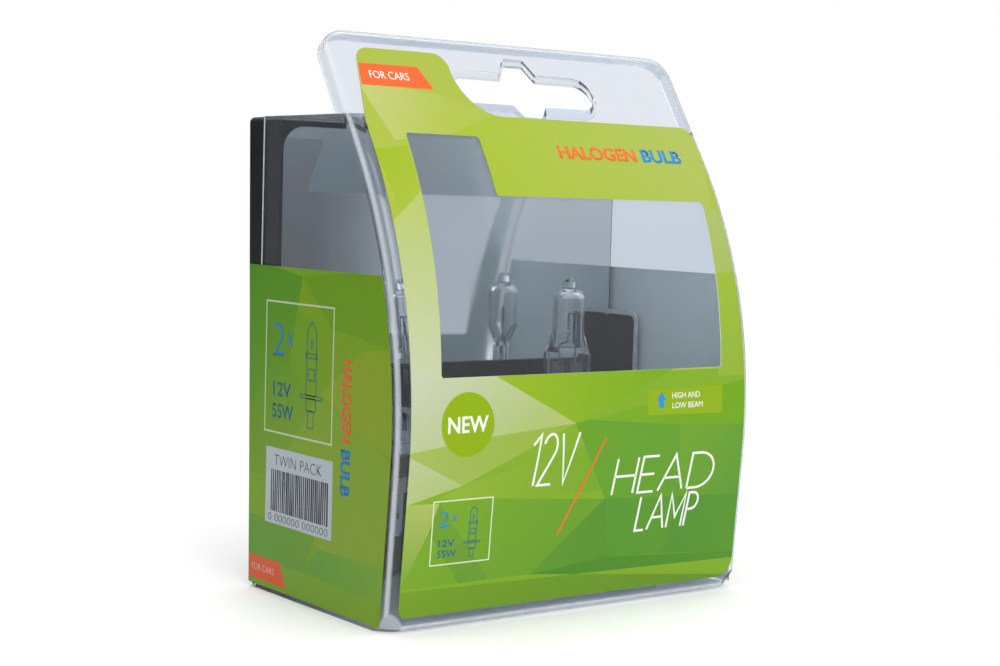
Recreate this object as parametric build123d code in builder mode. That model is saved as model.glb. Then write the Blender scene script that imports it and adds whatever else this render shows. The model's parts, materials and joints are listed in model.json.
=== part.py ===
"""Hanging shop pack of two halogen headlight bulbs.

A clear case with a bulged front and a hang tab closes over a black back shell.  The shell carries a
mirror-bright panel and a black tray, and two bulbs stand in the tray, flange on the shelf, glass up.
Millimetres.  Origin at the middle of the footprint, X across, Y from front to back, Z up.
"""
import os
from math import asin, cos, radians, sin, sqrt

from build123d import *

# ---- driving dimensions: the pack ------------------------------------------------------------------
WIDTH = 112.6             # case, outside, without the side labels
BOX_HEIGHT = 122.0        # top wall of the case
TAB_TOP = 144.1           # top edge of the hang tab before its corners are rounded
WALL = 0.8                # clear case
RIM_Y = 28.5              # open back edge of the case
BULGE_RADIUS = 125.0      # front face, seen from the side
BULGE_Y = -37.1           # foremost line of the front face
BULGE_Z = 47.0
TOE_Z = 37.3              # below this the front face is flat
LEAN_Z = 115.0            # above this the front face and the tab are flat
CASE_EDGE_RADIUS = 3.0
CASE_CORNER_CUT = 6.0     # slanted facet across each bottom front corner, along each edge

TAB_RIM_DEPTH = 5.5
TAB_CORNER_RADIUS = 7.0
HANG_SLOT_LENGTH = 46.0
HANG_SLOT_WIDTH = 10.2
HANG_SLOT_Z = 130.9       # height of the slot's centre line
HANG_ARCH_WIDTH = 17.0    # the hook's arch above the slot and notch below it
HANG_ARCH_FLAT = 6.0
HANG_ARCH_RISE = 4.6
HANG_NOTCH_DROP = 3.4
HANG_LIP_DEPTH = 2.4

SHELL_WALL = 1.2
SHELL_CLEARANCE = 0.3     # shell's plug inside the case
SHELL_SIDE_STEP = 0.2     # shell stands this much inside the case's sides
SHELL_GAP = 0.1           # shell's shoulder behind the case's back edge
PLUG_FRONT_Y = 21.7
SHELL_BACK = ((32.2, 0.0), (36.2, 84.0), (37.5, 122.0))   # back face, (Y, Z)
SHELL_EDGE_RADIUS = 1.5

PANEL_FRONT_Y = 21.0
PANEL_THICKNESS = 0.5
PANEL_HALF_WIDTH = 54.4
PANEL_TOP = 119.6
PANEL_CORNER_RADIUS = 6.0

LABEL_GAP = 0.1           # glue line
LABEL_THICKNESS = 0.25
FRONT_LABEL_SIDE = 53.6
FRONT_LABEL_BOTTOM = 3.7
FRONT_LABEL_LEAN = (1.0, 120.5)           # the left edge leans in by this much up to this height
FRONT_LABEL_BAND = (-11.0, 123.5)         # where the top edge under the hook slot starts to curve up
FRONT_LABEL_FLAG = (-48.6, -22.0, 138.8)  # left side, right side and top of the raised flag
FRONT_LABEL_FLAG_CURVE_Z = 134.0          # the curve from the band ends here
FRONT_LABEL_CORNERS = (4.0, 3.5, 2.5, 5.0)  # radii: flag, band's right end, bottom left, bottom right
FRONT_WINDOW = ((-44.6, 60.4), (-42.2, 118.0), (-20.4, 118.0), (-20.4, 103.4), (48.0, 103.4), (45.2, 60.4))
WINDOW_CORNER_RADIUS = 0.8
SIDE_LABEL_TOP = 84.0
SIDE_LABEL_BOTTOM = 1.2
SIDE_LABEL_INSET = 3.0    # behind the front face's line
SIDE_LABEL_BACK = ((31.4, 1.2), (33.9, 84.0))

# ---- driving dimensions: the tray and the bulbs ----------------------------------------------------
TRAY_WALL = 1.2
TRAY_HALF_WIDTH = 54.6
TRAY_BOTTOM = 1.4
TRAY_BACK_TOP = 58.0
TRAY_EAR_TOP = 70.5
TRAY_EAR_FRONT_Y = 9.0
TRAY_EAR_RADIUS = 2.0
SHELF_Z = 37.0            # the bulbs' flanges rest here
SHELF_FRONT_Y = -3.5
SHELF_SKIRT = 5.5

BULB_X = 27.4             # bulbs stand at +/- this
BULB_Y = 5.9
BULB_TURN = -48.0         # the flat pinch faces this far round from the front
REST_GAP = 0.05           # flange above the shelf

TUBE_RADIUS = 4.4
TUBE_WALL = 0.9
TUBE_BOTTOM = 67.0        # here the round tube starts to spread into the pinch
TUBE_TOP = 76.2
DOME_TOP = 78.6
TIP_RADIUS = 1.9
BULB_TOP = 81.6
CAVITY_TOP = 77.6
CAVITY_SHOULDER = 75.6
CAVITY_BOTTOM = 62.6
CAVITY_FOOT = (3.7, 1.2)  # half axes of its flattened foot
PINCH_TOP = 61.0
PINCH_BOTTOM = 41.0
PINCH_WIDTH = 12.8
PINCH_WEB = 2.8
PINCH_BEAD = 1.5          # width of the thick bead down each side
PINCH_BEAD_DEPTH = 4.0

FILAMENT_BOTTOM = 64.8
FILAMENT_TOP = 70.8
FILAMENT_RADIUS = 0.65
FILAMENT_WIRE = 0.2
LEAD_RADIUS = 0.25
LONG_LEAD_X = 2.1
FOIL_X = 2.6              # foils and outer leads stand at +/- this
FOIL_WIDTH = 3.6
FOIL_THICKNESS = 0.1
FOIL_BOTTOM = 47.0
FOIL_TOP = 58.5

FLANGE_RADIUS = 8.6
FLANGE_THICKNESS = 1.0
FLANGE_NOTCH = 1.6
FLANGE_BORE = 4.0
COLLAR_RADIUS = 6.6
COLLAR_WALL = 0.7
COLLAR_TOP = 39.5
HOLDER_BASE_RADIUS = 5.6
HOLDER_BASE_TOP = 39.7
HOLDER_TOP = 48.7
HOLDER_WALL = 0.4
HOLDER_SLACK = 0.2        # sheet steel to quartz
HOLDER_WINDOW = (3.6, 4.6)
GROUND_PAD = 0.6          # holder's floor, where the ground lead is welded
CAP_RADIUS = 6.0
CAP_WALL = 0.4
CAP_BOTTOM = 31.4
INSULATOR_RADIUS = 4.6
INSULATOR_BOTTOM = 26.3
INSULATOR_TOP = 36.0
INSULATOR_SHOULDER = 32.2
SPADE_WIDTH = 6.3
SPADE_THICKNESS = 0.8
SPADE_BOTTOM = 14.7
SPADE_TOP = 34.0
SPADE_HOLE_RADIUS = 0.85
SPADE_HOLE_Z = 20.0
SPADE_NOSE = 1.5
SEAT_CLEARANCE = 0.3      # base cap in the tray's hole

HALF = WIDTH / 2
TOE_ANGLE = asin((TOE_Z - BULGE_Z) / BULGE_RADIUS)
LEAN_ANGLE = asin((LEAN_Z - BULGE_Z) / BULGE_RADIUS)
FLANGE_Z = SHELF_Z + REST_GAP


def save(piece, name):
    """Names a finished piece and writes it."""
    piece.part.label = name
    export_step(piece.part, f"parts/{name}.step")


# ---- the front face's line, shared by the case and its labels --------------------------------------
def front_point(angle, inset):
    """(Y, Z) on the bulge at an angle above its foremost line, set in from the outer face."""
    radius = BULGE_RADIUS - inset
    return Vector(BULGE_Y + BULGE_RADIUS - radius * cos(angle), BULGE_Z + radius * sin(angle))


def along(point, angle, height):
    """The point at a given height on the straight that leaves the bulge at this angle."""
    return point + Vector(sin(angle), cos(angle)) * ((height - point.Y) / cos(angle))


def draw_front(inset, bottom, top):
    """Draws the front face's line between two heights and returns its ends."""
    toe, lean = front_point(TOE_ANGLE, inset), front_point(LEAN_ANGLE, inset)
    foot = along(toe, TOE_ANGLE, bottom)
    Line(foot, toe)
    if top > lean.Y:
        head = along(lean, LEAN_ANGLE, top)
        ThreePointArc(toe, front_point(0, inset), lean)
        Line(lean, head)
    else:
        head = front_point(asin((top - BULGE_Z) / (BULGE_RADIUS - inset)), inset)
        ThreePointArc(toe, front_point(0, inset), head)
    return foot, head


FRONT_EDGES_Y = -15.0     # every edge of the front face has its middle in front of this


# ---- clear case ------------------------------------------------------------------------------------
def case_block(inset, back_y):
    """The case's outer block, or the space inside it when it is set in by the wall."""
    half = HALF - inset
    with BuildPart() as block:
        with BuildSketch(Plane.YZ):
            with BuildLine():
                foot, head = draw_front(inset, inset, BOX_HEIGHT - inset)
                Polyline(head, (back_y, head.Y), (back_y, foot.Y), foot)
            make_face()
        extrude(amount=half, both=True)
        side_edges = block.edges().group_by(Axis.X)[0] + block.edges().group_by(Axis.X)[-1]
        front = side_edges.filter_by(Axis.Y, reverse=True).filter_by(lambda e: e.center().Y < FRONT_EDGES_Y)
        foot_edge = block.edges().filter_by(Axis.X).group_by(Axis.Z)[0].sort_by(Axis.Y)[0]
        fillet(front + [foot_edge], radius=CASE_EDGE_RADIUS - inset)
        for side in (-1, 1):
            along_edges = CASE_CORNER_CUT - inset * (3 - sqrt(3))
            tip = (side * (half - along_edges), foot.X, foot.Y)
            split(bisect_by=Plane(origin=tip, z_dir=(side, -1, -1)), keep=Keep.BOTTOM)
    return block.part


tab_foot = along(front_point(LEAN_ANGLE, 0), LEAN_ANGLE, BOX_HEIGHT)
tab_plane = Plane(
    origin=(0, tab_foot.X, tab_foot.Y),
    x_dir=(1, 0, 0),
    z_dir=(0, -cos(LEAN_ANGLE), sin(LEAN_ANGLE)),
)
TAB_LENGTH = (TAB_TOP - BOX_HEIGHT) / cos(LEAN_ANGLE)
HANG_SLOT_UP = (HANG_SLOT_Z - BOX_HEIGHT) / cos(LEAN_ANGLE)
TAB_ROOT = 8.0            # how far the tab is drawn below the top wall before it is trimmed


def tab_block(inset, depth):
    """The tab's outer block, or the hollow behind it when it is set in by the wall."""
    with BuildPart() as block:
        with BuildSketch(tab_plane.offset(-inset)) as outline:
            with Locations((0, (TAB_LENGTH - TAB_ROOT) / 2)):
                Rectangle(WIDTH, TAB_LENGTH + TAB_ROOT)
            fillet(outline.vertices().group_by(Axis.Y)[-1], radius=TAB_CORNER_RADIUS)
            if inset:
                offset(amount=-inset, kind=Kind.INTERSECTION)
        extrude(amount=inset - depth)
        tab_face = block.faces().sort_by(Axis((0, 0, 0), tab_plane.z_dir))[-1]
        fillet(tab_face.edges(), radius=CASE_EDGE_RADIUS - inset)
    return block.part


def hang_hole(grow):
    """The hook slot: a long slot with an arch above it and a notch below it."""
    half, flat = HANG_ARCH_WIDTH / 2, HANG_ARCH_FLAT / 2
    rise, drop = HANG_SLOT_WIDTH / 2 + HANG_ARCH_RISE, HANG_SLOT_WIDTH / 2 + HANG_NOTCH_DROP
    with BuildSketch(tab_plane) as hole:
        with Locations((0, HANG_SLOT_UP)):
            SlotOverall(HANG_SLOT_LENGTH, HANG_SLOT_WIDTH)
            arch_and_notch = [(-half, 0), (-flat, rise), (flat, rise), (half, 0), (flat, -drop), (-flat, -drop)]
            Polygon(*arch_and_notch, align=None)
        fillet(hole.vertices(), radius=1.0)
        if grow:
            offset(amount=grow)
    return hole.sketch


tab_hollow = tab_block(WALL, 2 * TAB_RIM_DEPTH)
with BuildPart() as tab:
    add(tab_block(0, TAB_RIM_DEPTH))
    add(tab_hollow, mode=Mode.SUBTRACT)
    add(hang_hole(WALL))
    extrude(amount=-HANG_LIP_DEPTH)
    add(hang_hole(0))
    extrude(amount=-TAB_RIM_DEPTH, mode=Mode.SUBTRACT)
    split(bisect_by=Plane.XY.offset(BOX_HEIGHT - WALL / 2), keep=Keep.TOP)

case_inside = case_block(WALL, RIM_Y + 10)
with BuildPart() as front_cover:
    add(case_block(0, RIM_Y))
    add(case_inside, mode=Mode.SUBTRACT)
    add(tab.part)


# ---- printed labels, glued to the outside of the case ----------------------------------------------

with BuildSketch(Plane.XZ) as window:
    with BuildLine():
        Polyline(*FRONT_WINDOW, close=True)
    make_face()
    fillet(window.vertices(), radius=WINDOW_CORNER_RADIUS)

with BuildPart() as front_label:
    with BuildSketch(Plane.YZ):
        with BuildLine():
            outer_foot, outer_head = draw_front(-LABEL_GAP - LABEL_THICKNESS, FRONT_LABEL_BOTTOM, TAB_TOP)
            inner_foot, inner_head = draw_front(-LABEL_GAP, FRONT_LABEL_BOTTOM, TAB_TOP)
            Line(outer_head, inner_head)
            Line(inner_foot, outer_foot)
        make_face()
    extrude(amount=HALF, both=True)
    with BuildSketch(Plane.XZ) as outline:
        with BuildLine():
            flag_left, flag_right, flag_top = FRONT_LABEL_FLAG
            flag_side = (flag_right, FRONT_LABEL_FLAG_CURVE_Z)
            lean, lean_top = FRONT_LABEL_LEAN
            Polyline(
                flag_side,
                (flag_right, flag_top),
                (flag_left, flag_top),
                (lean - FRONT_LABEL_SIDE, lean_top),
                (-FRONT_LABEL_SIDE, FRONT_LABEL_BOTTOM),
                (FRONT_LABEL_SIDE, FRONT_LABEL_BOTTOM),
                (FRONT_LABEL_SIDE, FRONT_LABEL_BAND[1]),
                FRONT_LABEL_BAND,
            )
            TangentArc(FRONT_LABEL_BAND, flag_side, tangent=(-1, 0.05))
        make_face()
        flag_radius, *corner_radii = FRONT_LABEL_CORNERS
        fillet(outline.vertices().group_by(Axis.Y)[-1], radius=flag_radius)
        corners = (
            (FRONT_LABEL_SIDE, FRONT_LABEL_BAND[1]),
            (-FRONT_LABEL_SIDE, FRONT_LABEL_BOTTOM),
            (FRONT_LABEL_SIDE, FRONT_LABEL_BOTTOM),
        )
        for corner, radius in zip(corners, corner_radii):
            fillet(outline.vertices().sort_by_distance(corner)[0], radius=radius)
        add(window.sketch_local, mode=Mode.SUBTRACT)
    extrude(amount=WIDTH, both=True, mode=Mode.INTERSECT)


def side_label(side):
    """The label on one side wall; side is -1 for left and 1 for right."""
    with BuildPart() as label:
        with BuildSketch(Plane.YZ.offset(side * (HALF + LABEL_GAP))) as outline:
            with BuildLine():
                foot, head = draw_front(SIDE_LABEL_INSET, SIDE_LABEL_BOTTOM, SIDE_LABEL_TOP)
                Polyline(head, *reversed(SIDE_LABEL_BACK), foot)
            make_face()
        extrude(amount=side * LABEL_THICKNESS)
    return label


# ---- black back shell and its bright panel ---------------------------------------------------------
with BuildPart() as back_shell:
    with BuildSketch(Plane.YZ):
        with BuildLine():
            shoulder = RIM_Y + SHELL_GAP
            Polyline((shoulder, 0), *SHELL_BACK, (shoulder, BOX_HEIGHT), close=True)
        make_face()
    extrude(amount=HALF - SHELL_SIDE_STEP, both=True)
    rear_edges = back_shell.edges().filter_by(lambda e: e.center().Y > shoulder + SHELL_EDGE_RADIUS)
    fillet(rear_edges, radius=SHELL_EDGE_RADIUS)
    plug_step = WALL + SHELL_CLEARANCE
    with BuildSketch(Plane.XZ.offset(-shoulder)):
        with Locations((0, BOX_HEIGHT / 2)):
            Rectangle(WIDTH - 2 * plug_step, BOX_HEIGHT - 2 * plug_step)
    extrude(amount=shoulder - PLUG_FRONT_Y)
    with BuildSketch(Plane.YZ):
        with BuildLine():
            hollow_top, hollow_bottom = BOX_HEIGHT - plug_step - SHELL_WALL, plug_step + SHELL_WALL
            Polyline(
                (PLUG_FRONT_Y, hollow_bottom),
                (SHELL_BACK[0][0] - SHELL_WALL, hollow_bottom),
                (SHELL_BACK[1][0] - SHELL_WALL, SHELL_BACK[1][1]),
                (SHELL_BACK[2][0] - SHELL_WALL, hollow_top),
                (PLUG_FRONT_Y, hollow_top),
                close=True,
            )
        make_face()
    extrude(amount=HALF - plug_step - SHELL_WALL, both=True, mode=Mode.SUBTRACT)

with BuildPart() as back_panel:
    with BuildSketch(Plane.XZ.offset(-PANEL_FRONT_Y)) as outline:
        panel_bottom = WALL + SHELL_CLEARANCE + 0.3
        with Locations((0, (PANEL_TOP + panel_bottom) / 2)):
            Rectangle(2 * PANEL_HALF_WIDTH, PANEL_TOP - panel_bottom)
        fillet(outline.vertices().group_by(Axis.Y)[-1], radius=PANEL_CORNER_RADIUS)
    extrude(amount=-PANEL_THICKNESS)


# ---- black tray: back plate, two side walls with ears, and the shelf that the bulbs stand in ---------
TRAY_BACK_Y = PANEL_FRONT_Y - 0.1

with BuildPart() as bulb_tray:
    with BuildSketch(Plane.XZ.offset(-TRAY_BACK_Y)):
        with Locations((0, (TRAY_BACK_TOP + TRAY_BOTTOM) / 2)):
            Rectangle(2 * TRAY_HALF_WIDTH, TRAY_BACK_TOP - TRAY_BOTTOM)
    extrude(amount=TRAY_WALL)
    for side in (-1, 1):
        with BuildSketch(Plane.YZ.offset(side * TRAY_HALF_WIDTH)) as wall:
            with BuildLine():
                Polyline(
                    (TRAY_BACK_Y, TRAY_BOTTOM),
                    (TRAY_BACK_Y, TRAY_EAR_TOP),
                    (TRAY_EAR_FRONT_Y, TRAY_EAR_TOP),
                    (TRAY_EAR_FRONT_Y, SHELF_Z),
                    (SHELF_FRONT_Y, SHELF_Z),
                    (SHELF_FRONT_Y, TRAY_BOTTOM),
                    close=True,
                )
            make_face()
            fillet(wall.vertices().group_by(Axis.Y)[-1], radius=TRAY_EAR_RADIUS)
        extrude(amount=-side * TRAY_WALL)
    with BuildSketch(Plane.XY.offset(SHELF_Z)):
        with Locations((0, (SHELF_FRONT_Y + TRAY_BACK_Y) / 2)):
            Rectangle(2 * TRAY_HALF_WIDTH, TRAY_BACK_Y - SHELF_FRONT_Y)
        with Locations((-BULB_X, BULB_Y), (BULB_X, BULB_Y)):
            Circle(CAP_RADIUS + SEAT_CLEARANCE, mode=Mode.SUBTRACT)
    extrude(amount=-TRAY_WALL)
    with BuildSketch(Plane.XZ.offset(-SHELF_FRONT_Y)):
        with Locations((0, SHELF_Z - SHELF_SKIRT / 2)):
            Rectangle(2 * TRAY_HALF_WIDTH, SHELF_SKIRT)
    extrude(amount=-TRAY_WALL)


# ---- one halogen bulb, each piece drawn about its own upright axis -----------------------------------
def upright(seat, turn=0.0):
    """The plane through the bulb's axis with X across the bulb and Y up."""
    across = seat.x_dir.rotate(Axis.Z, turn)
    return Plane(origin=seat.origin, x_dir=across, z_dir=across.cross(Vector(0, 0, 1)))


def bulb_foils(seat):
    """Two molybdenum foils that seal the current path through the pinch."""
    with BuildPart() as foils:
        with BuildSketch(upright(seat)):
            with Locations((-FOIL_X, (FOIL_TOP + FOIL_BOTTOM) / 2), (FOIL_X, (FOIL_TOP + FOIL_BOTTOM) / 2)):
                Rectangle(FOIL_WIDTH, FOIL_TOP - FOIL_BOTTOM)
        extrude(amount=FOIL_THICKNESS / 2, both=True)
    return foils


def wire(path_plane, points, radius, bend):
    """A round wire along straight runs with rounded corners."""
    with BuildPart() as lead:
        with BuildLine(path_plane) as path:
            if len(points) > 2:
                FilletPolyline(*points, radius=bend)
            else:
                Line(*points)
        with BuildSketch(Plane(origin=path.line @ 0, z_dir=path.line % 0)):
            Circle(radius)
        sweep()
    return lead


def bulb_long_lead(seat):
    """The support wire beside the filament, bent over to its top end."""
    side = LONG_LEAD_X
    points = ((side, FOIL_TOP), (side, FILAMENT_TOP + 1.0), (0, FILAMENT_TOP + 1.0), (0, FILAMENT_TOP))
    return wire(upright(seat), points, LEAD_RADIUS, 0.45)


def bulb_short_lead(seat):
    """The wire that comes out of the pinch and turns in under the filament."""
    low = FILAMENT_BOTTOM - 1.4
    points = ((-LONG_LEAD_X, FOIL_TOP), (-LONG_LEAD_X, low), (0, low + 0.6), (0, FILAMENT_BOTTOM))
    return wire(upright(seat), points, LEAD_RADIUS, 0.45)


def bulb_filament(seat):
    """The coil's outer sleeve shape, upright on the axis."""
    with BuildPart() as filament:
        with BuildSketch(seat.offset(FILAMENT_BOTTOM)):
            Circle(FILAMENT_RADIUS)
        extrude(amount=FILAMENT_TOP - FILAMENT_BOTTOM)
    return filament


def bulb_outer_leads(seat):
    """Wires from the foils' lower ends: one to the spade, one to the holder's floor."""
    with BuildPart() as leads:
        for side, end in ((-1, SPADE_TOP), (1, HOLDER_BASE_TOP + GROUND_PAD)):
            with BuildSketch(seat.offset(end)):
                with Locations((side * FOIL_X, 0)):
                    Circle(LEAD_RADIUS)
            extrude(amount=FOIL_BOTTOM - end)
    return leads


def bulb_envelope(seat, buried):
    """Quartz tube with its sealed tip, spread and pressed flat over the foils at its foot."""
    with BuildPart() as glass:
        with BuildSketch(upright(seat)):
            with BuildLine():
                shoulder, neck = (TUBE_RADIUS, TUBE_TOP), (TIP_RADIUS, DOME_TOP)
                Polyline((0, TUBE_BOTTOM), (TUBE_RADIUS, TUBE_BOTTOM), shoulder)
                Spline(shoulder, neck, tangents=((0, 1), (-1, 0.3)))
                Line(neck, (TIP_RADIUS * 0.9, BULB_TOP - TIP_RADIUS * 0.9))
                RadiusArc((TIP_RADIUS * 0.9, BULB_TOP - TIP_RADIUS * 0.9), (0, BULB_TOP), -TIP_RADIUS * 0.9)
                Line((0, BULB_TOP), (0, TUBE_BOTTOM))
            make_face()
        revolve(axis=Axis(seat.origin, (0, 0, 1)))
        with BuildSketch(seat.offset(PINCH_TOP)):
            Ellipse(PINCH_WIDTH / 2 - 0.3, PINCH_BEAD_DEPTH / 2 + 0.1)
        with BuildSketch(seat.offset(TUBE_BOTTOM)):
            Circle(TUBE_RADIUS)
        loft()
        with BuildSketch(seat.offset(PINCH_BOTTOM)):
            RectangleRounded(PINCH_WIDTH, PINCH_WEB, radius=0.8)
            with Locations((-(PINCH_WIDTH - PINCH_BEAD) / 2, 0), ((PINCH_WIDTH - PINCH_BEAD) / 2, 0)):
                RectangleRounded(PINCH_BEAD, PINCH_BEAD_DEPTH, radius=0.6)
        extrude(amount=PINCH_TOP - PINCH_BOTTOM)
        inner = TUBE_RADIUS - TUBE_WALL
        with BuildSketch(upright(seat)):
            with BuildLine():
                Polyline((0, TUBE_BOTTOM), (inner, TUBE_BOTTOM), (inner, CAVITY_SHOULDER))
                Spline((inner, CAVITY_SHOULDER), (0, CAVITY_TOP), tangents=((0, 1), (-1, 0)))
                Line((0, CAVITY_TOP), (0, TUBE_BOTTOM))
            make_face()
        revolve(axis=Axis(seat.origin, (0, 0, 1)), mode=Mode.SUBTRACT)
        with BuildSketch(seat.offset(CAVITY_BOTTOM)):
            Ellipse(*CAVITY_FOOT)
        with BuildSketch(seat.offset(TUBE_BOTTOM)):
            Circle(inner)
        loft(mode=Mode.SUBTRACT)
        for piece in buried:
            add(piece.part, mode=Mode.SUBTRACT)
    return glass


def bulb_flange(seat):
    """Round locating flange with a raised collar and two notches in its rim."""
    with BuildPart() as flange:
        with BuildSketch(seat.offset(FLANGE_Z)):
            Circle(FLANGE_RADIUS)
            with PolarLocations(FLANGE_RADIUS, 2, start_angle=55, angular_range=360):
                Circle(FLANGE_NOTCH, mode=Mode.SUBTRACT)
            Circle(FLANGE_BORE, mode=Mode.SUBTRACT)
        extrude(amount=FLANGE_THICKNESS)
        with BuildSketch(seat.offset(FLANGE_Z + FLANGE_THICKNESS)):
            Circle(COLLAR_RADIUS)
            Circle(COLLAR_RADIUS - COLLAR_WALL, mode=Mode.SUBTRACT)
        extrude(amount=COLLAR_TOP - FLANGE_Z - FLANGE_THICKNESS)
    return flange


def bulb_holder(seat):
    """Sheet steel cup in the collar that rises as a flat sleeve round the pinch."""
    wide = PINCH_WIDTH + 2 * HOLDER_SLACK
    deep = PINCH_BEAD_DEPTH + 2 * HOLDER_SLACK
    low = FLANGE_Z + FLANGE_THICKNESS
    with BuildPart() as holder:
        with BuildSketch(seat.offset(low)):
            Circle(HOLDER_BASE_RADIUS)
            Circle(HOLDER_BASE_RADIUS - HOLDER_WALL, mode=Mode.SUBTRACT)
        extrude(amount=HOLDER_BASE_TOP - low)
        with BuildSketch(seat.offset(HOLDER_BASE_TOP)):
            RectangleRounded(wide + 2 * HOLDER_WALL, deep + 2 * HOLDER_WALL, radius=1.0)
            Circle(HOLDER_BASE_RADIUS)
            with Locations((-FOIL_X, 0)):
                Circle(4 * LEAD_RADIUS, mode=Mode.SUBTRACT)
        extrude(amount=GROUND_PAD)
        with BuildSketch(seat.offset(HOLDER_BASE_TOP + GROUND_PAD)):
            RectangleRounded(wide + 2 * HOLDER_WALL, deep + 2 * HOLDER_WALL, radius=1.0)
            RectangleRounded(wide, deep, radius=0.6, mode=Mode.SUBTRACT)
        extrude(amount=HOLDER_TOP - HOLDER_BASE_TOP - GROUND_PAD)
        with BuildSketch(upright(seat)):
            across, high = HOLDER_WINDOW
            middle = (HOLDER_TOP + HOLDER_BASE_TOP) / 2 + 0.6
            with Locations((-FOIL_X, middle), (FOIL_X, middle)):
                RectangleRounded(across, high, radius=0.5)
        extrude(amount=HOLDER_BASE_RADIUS, both=True, mode=Mode.SUBTRACT)
    return holder


def bulb_cap(seat):
    """Drawn steel cap under the flange, open at the bottom round the insulator."""
    with BuildPart() as cap:
        with BuildSketch(seat.offset(CAP_BOTTOM)):
            Circle(CAP_RADIUS)
        extrude(amount=FLANGE_Z - CAP_BOTTOM)
        fillet(cap.edges().group_by(Axis.Z)[0], radius=0.7)
        with BuildSketch(seat.offset(CAP_BOTTOM)):
            Circle(INSULATOR_RADIUS)
        extrude(amount=INSULATOR_SHOULDER - CAP_BOTTOM, mode=Mode.SUBTRACT)
        with BuildSketch(seat.offset(INSULATOR_SHOULDER)):
            Circle(CAP_RADIUS - CAP_WALL)
        extrude(amount=FLANGE_Z - INSULATOR_SHOULDER, mode=Mode.SUBTRACT)
    return cap


def bulb_spade(seat):
    """Flat spade contact with its detent hole, its nose cut back at the corners."""
    with BuildPart() as spade:
        with BuildSketch(upright(seat)) as blade:
            with Locations((0, (SPADE_TOP + SPADE_BOTTOM) / 2)):
                Rectangle(SPADE_WIDTH, SPADE_TOP - SPADE_BOTTOM)
            chamfer(blade.vertices().group_by(Axis.Y)[0], length=SPADE_NOSE)
            with Locations((0, SPADE_HOLE_Z)):
                Circle(SPADE_HOLE_RADIUS, mode=Mode.SUBTRACT)
        extrude(amount=SPADE_THICKNESS / 2, both=True)
    return spade


def bulb_insulator(seat, buried):
    """Ceramic plug that holds the spade in the cap."""
    with BuildPart() as insulator:
        with BuildSketch(seat.offset(INSULATOR_BOTTOM)):
            Circle(INSULATOR_RADIUS)
        extrude(amount=INSULATOR_SHOULDER - INSULATOR_BOTTOM)
        chamfer(insulator.edges().group_by(Axis.Z)[0], length=0.6)
        with BuildSketch(seat.offset(INSULATOR_SHOULDER)):
            Circle(CAP_RADIUS - CAP_WALL)
        extrude(amount=INSULATOR_TOP - INSULATOR_SHOULDER)
        for piece in buried:
            add(piece.part, mode=Mode.SUBTRACT)
    return insulator


# ---- output ----------------------------------------------------------------------------------------
os.makedirs("parts", exist_ok=True)
save(front_cover, "front_cover")
save(front_label, "front_label")
save(side_label(-1), "left_side_label")
save(side_label(1), "right_side_label")
save(back_shell, "back_shell")
save(back_panel, "back_panel")
save(bulb_tray, "bulb_tray")
for name, x in (("left", -BULB_X), ("right", BULB_X)):
    turn = radians(BULB_TURN)
    seat = Plane(origin=(x, BULB_Y, 0), x_dir=(cos(turn), sin(turn), 0), z_dir=(0, 0, 1))
    foils, spade = bulb_foils(seat), bulb_spade(seat)
    long_lead, short_lead, outer_leads = bulb_long_lead(seat), bulb_short_lead(seat), bulb_outer_leads(seat)
    save(bulb_envelope(seat, (foils, long_lead, short_lead, outer_leads)), f"{name}_quartz_envelope")
    save(bulb_filament(seat), f"{name}_filament")
    save(long_lead, f"{name}_long_lead")
    save(short_lead, f"{name}_short_lead")
    save(foils, f"{name}_seal_foils")
    save(outer_leads, f"{name}_outer_leads")
    save(bulb_holder(seat), f"{name}_pinch_holder")
    save(bulb_flange(seat), f"{name}_flange")
    save(bulb_cap(seat), f"{name}_base_cap")
    save(bulb_insulator(seat, (spade, outer_leads)), f"{name}_insulator")
    save(spade, f"{name}_spade_terminal")
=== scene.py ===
import json
import math
import random

import bmesh
import bpy
from mathutils import Euler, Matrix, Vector
from mathutils.bvhtree import BVHTree


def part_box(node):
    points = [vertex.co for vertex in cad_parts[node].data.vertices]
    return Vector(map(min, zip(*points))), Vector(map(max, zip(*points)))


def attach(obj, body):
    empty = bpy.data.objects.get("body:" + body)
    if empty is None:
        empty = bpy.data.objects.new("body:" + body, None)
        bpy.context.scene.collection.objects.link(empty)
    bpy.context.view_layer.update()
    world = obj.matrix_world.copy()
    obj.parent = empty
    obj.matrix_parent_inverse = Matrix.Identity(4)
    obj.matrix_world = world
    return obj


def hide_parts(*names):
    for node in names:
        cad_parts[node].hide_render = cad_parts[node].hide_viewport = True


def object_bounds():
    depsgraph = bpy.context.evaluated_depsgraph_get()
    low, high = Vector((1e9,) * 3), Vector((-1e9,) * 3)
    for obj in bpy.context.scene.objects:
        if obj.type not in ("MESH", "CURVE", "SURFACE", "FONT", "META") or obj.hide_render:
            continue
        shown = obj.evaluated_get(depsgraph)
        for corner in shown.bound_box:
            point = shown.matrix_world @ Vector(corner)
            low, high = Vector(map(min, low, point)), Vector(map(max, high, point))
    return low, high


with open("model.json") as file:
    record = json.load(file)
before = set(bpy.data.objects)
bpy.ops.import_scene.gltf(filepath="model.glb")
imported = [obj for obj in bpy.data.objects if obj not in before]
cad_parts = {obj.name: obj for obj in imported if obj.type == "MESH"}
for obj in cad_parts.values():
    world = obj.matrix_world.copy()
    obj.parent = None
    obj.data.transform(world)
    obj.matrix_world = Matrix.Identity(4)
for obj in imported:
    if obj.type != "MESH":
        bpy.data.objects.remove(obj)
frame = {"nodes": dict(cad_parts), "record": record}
nodes = frame["nodes"]
CAD_LOW, CAD_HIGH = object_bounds()
PACK_MIDDLE = (CAD_LOW + CAD_HIGH) / 2
MM = 0.001
SIDES = ("left", "right")


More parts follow.
